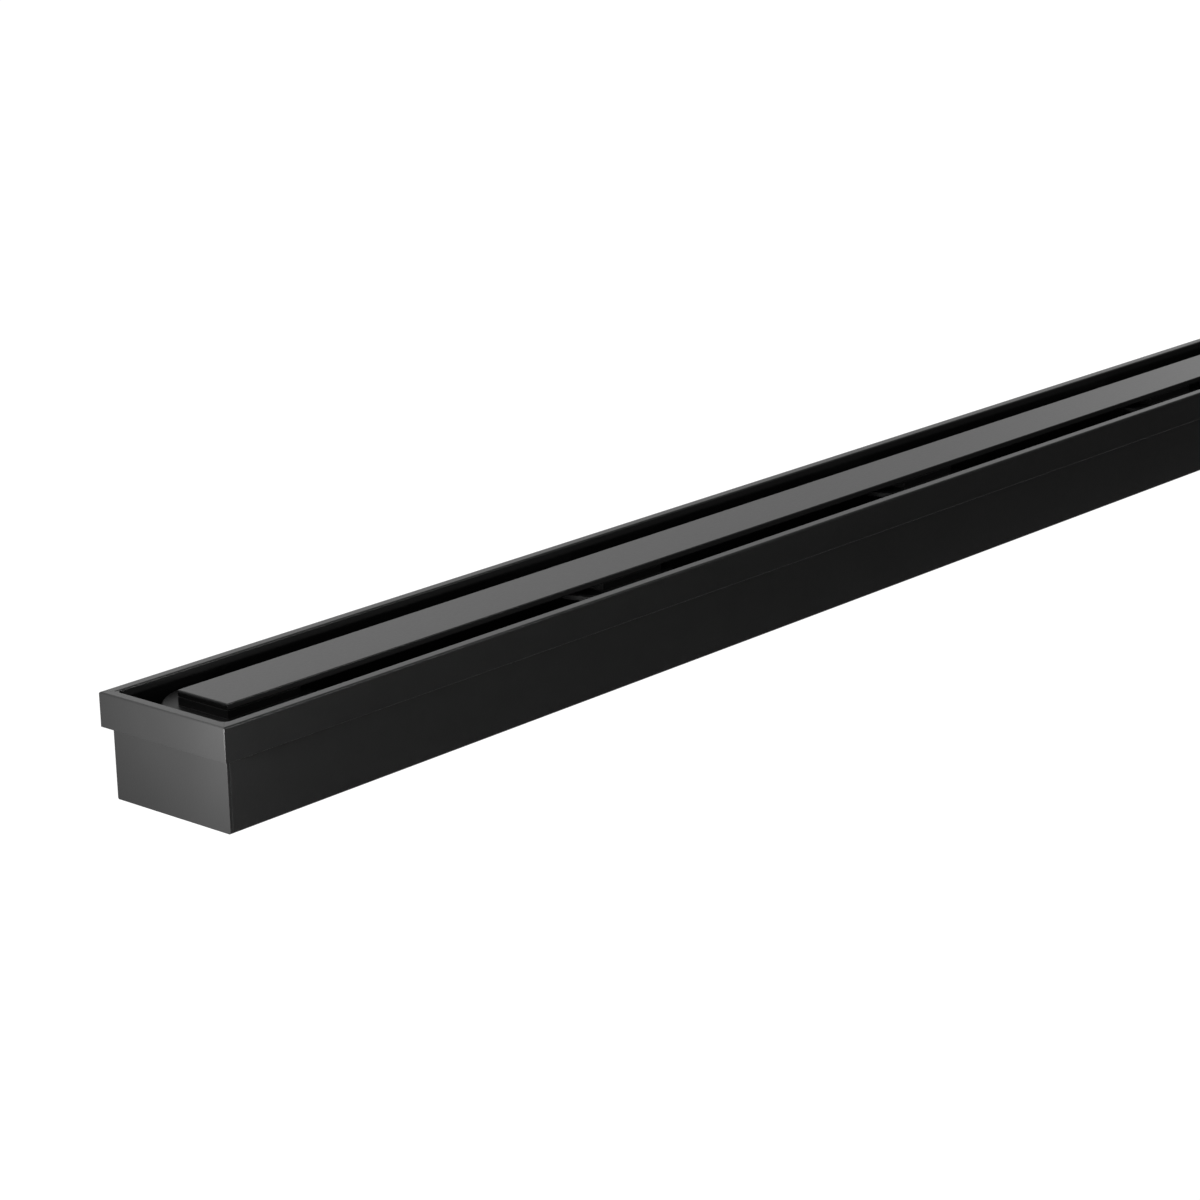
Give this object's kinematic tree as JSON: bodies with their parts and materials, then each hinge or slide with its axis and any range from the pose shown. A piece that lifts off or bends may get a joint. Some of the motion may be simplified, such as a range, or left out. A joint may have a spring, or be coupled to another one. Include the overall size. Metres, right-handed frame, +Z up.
{
  "type": "linear shower drain",
  "caption": "Long slim channel drain with a folded return rim, closed ends and a flat bar set flush over a trough, on saddle-topped stand-off posts, with a spigot outlet near one end.",
  "frame": {"origin": "centre of the channel's flat underside", "axes": "+X along the channel towards the outlet end, +Y across it, +Z up out of the floor"},
  "size_m": [1, 0.075, 0.0865],
  "materials": {
    "rim_coating": "matt",
    "bar_coating": "matt",
    "post_moulding": "moulded",
    "pad_rubber": "moulded",
    "fastener_steel": "plain",
    "spigot_steel": "matt",
    "strainer_steel": "brushed"
  },
  "bodies": {
    "root": {"channel_body": "rim_coating", "end_plate_right": "rim_coating", "end_plate_left": "rim_coating", "centre_bar": "bar_coating", "support_post_1": "post_moulding", "foot_pad_1": "pad_rubber", "weld_stud_1": "fastener_steel", "washer_1": "fastener_steel", "lock_nut_1": "fastener_steel", "support_post_2": "post_moulding", "foot_pad_2": "pad_rubber", "weld_stud_2": "fastener_steel", "washer_2": "fastener_steel", "lock_nut_2": "fastener_steel", "support_post_3": "post_moulding", "foot_pad_3": "pad_rubber", "weld_stud_3": "fastener_steel", "washer_3": "fastener_steel", "lock_nut_3": "fastener_steel", "support_post_4": "post_moulding", "foot_pad_4": "pad_rubber", "weld_stud_4": "fastener_steel", "washer_4": "fastener_steel", "lock_nut_4": "fastener_steel", "support_post_5": "post_moulding", "foot_pad_5": "pad_rubber", "weld_stud_5": "fastener_steel", "washer_5": "fastener_steel", "lock_nut_5": "fastener_steel", "outlet_spigot": "spigot_steel", "strainer_cup": "strainer_steel"}
  },
  "joints": []
}
